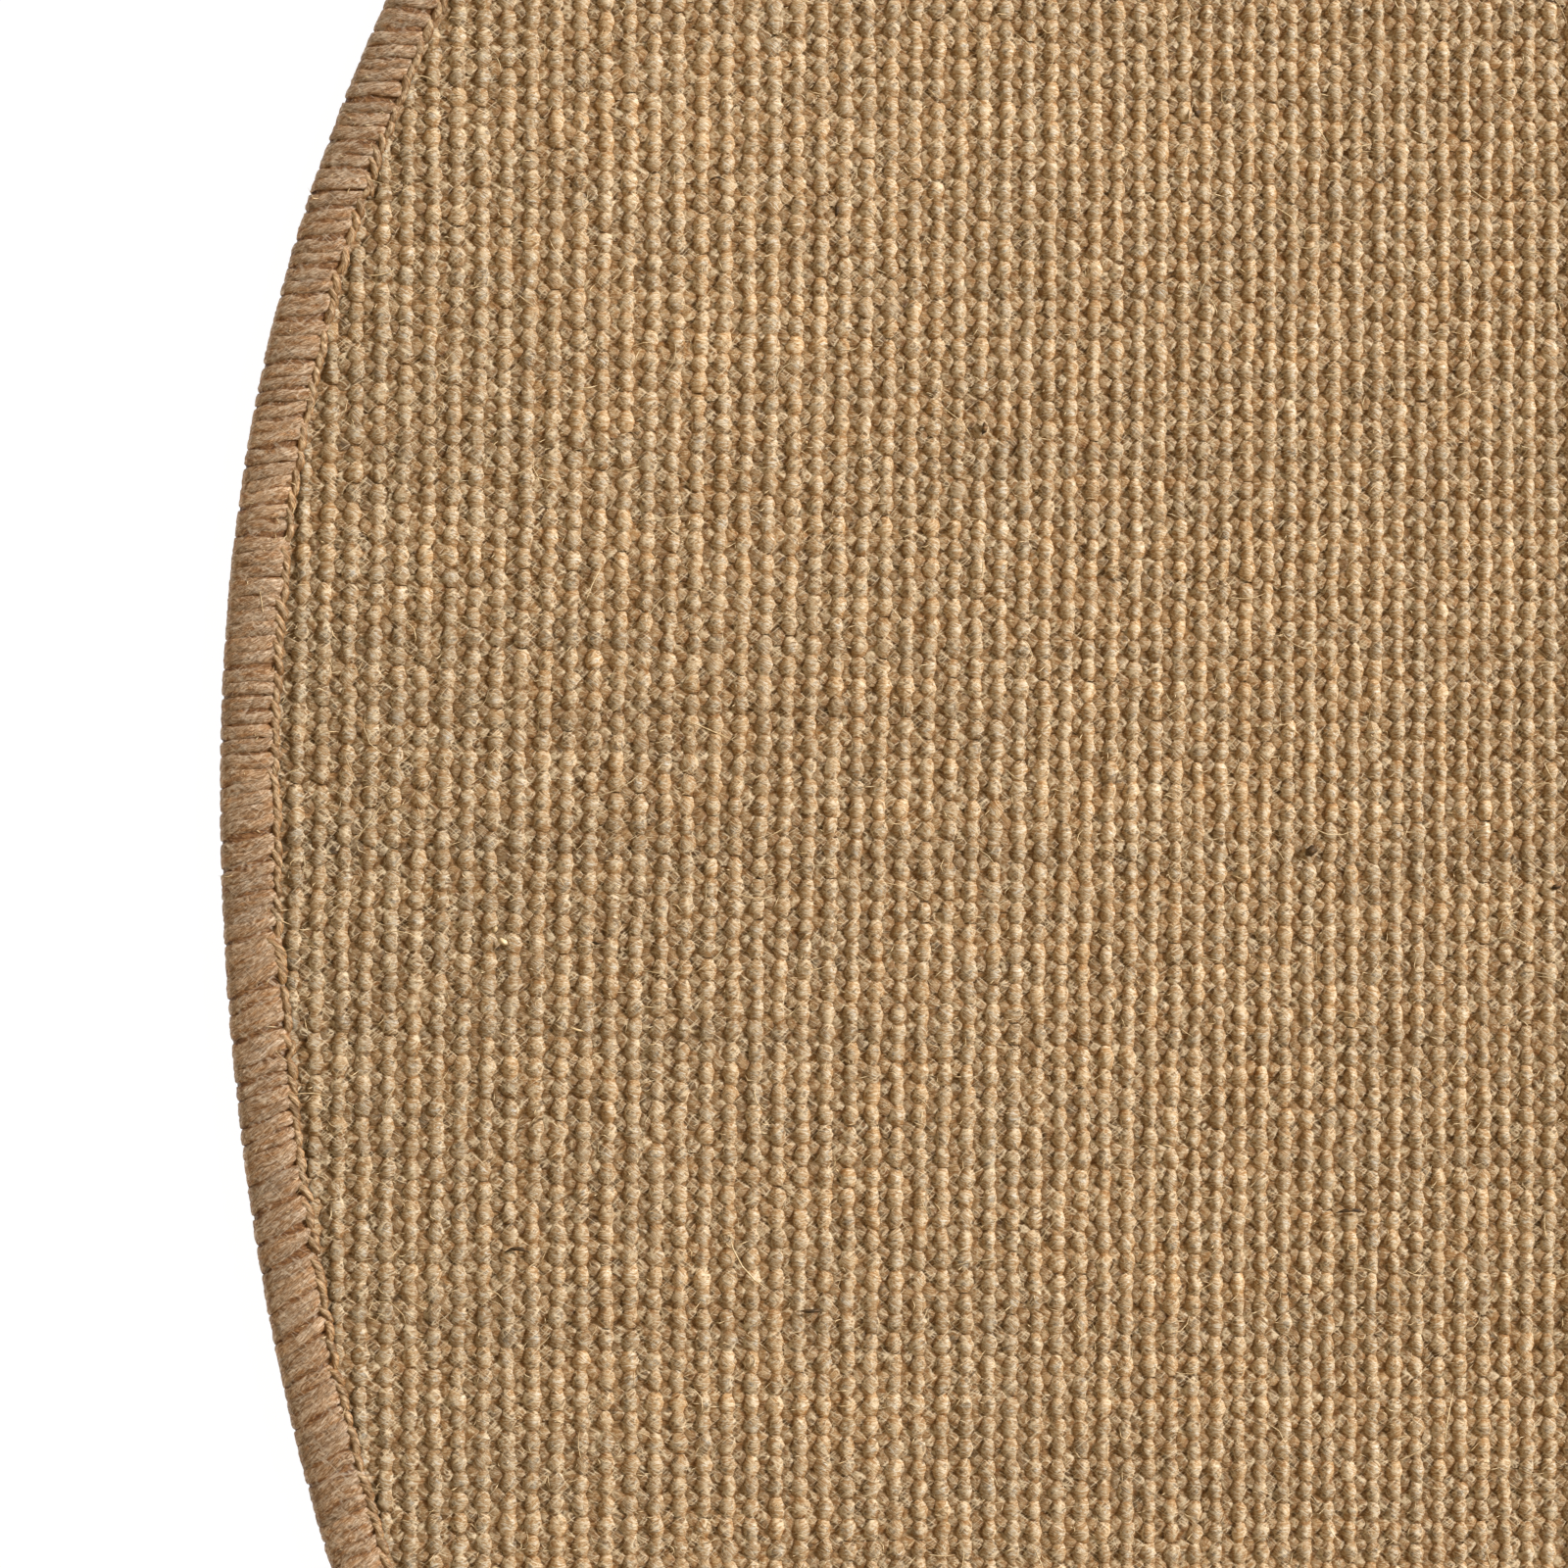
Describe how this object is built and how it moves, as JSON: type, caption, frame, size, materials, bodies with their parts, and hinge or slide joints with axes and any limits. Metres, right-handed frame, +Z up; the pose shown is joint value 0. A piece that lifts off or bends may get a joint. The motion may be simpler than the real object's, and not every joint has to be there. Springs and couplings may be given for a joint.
{
  "type": "round jute rug",
  "caption": "Flat round rug of ribbed woven jute, its rim wrapped in a soft yarn binding that a line of chain stitches locks along its inner edge.",
  "frame": {"origin": "on the floor, under the middle of the rug's bounding box", "axes": "+Z up through the rug's thickness; the ribs run along Y and are spaced along X"},
  "size_m": [0.9992, 0.9988, 0.0072],
  "materials": {
    "field_jute": "matte",
    "binding_jute": "matte",
    "chain_jute": "matte"
  },
  "bodies": {
    "root": {"woven_field": "field_jute", "edge_binding": "binding_jute", "chain_stitch": "chain_jute"}
  },
  "joints": []
}
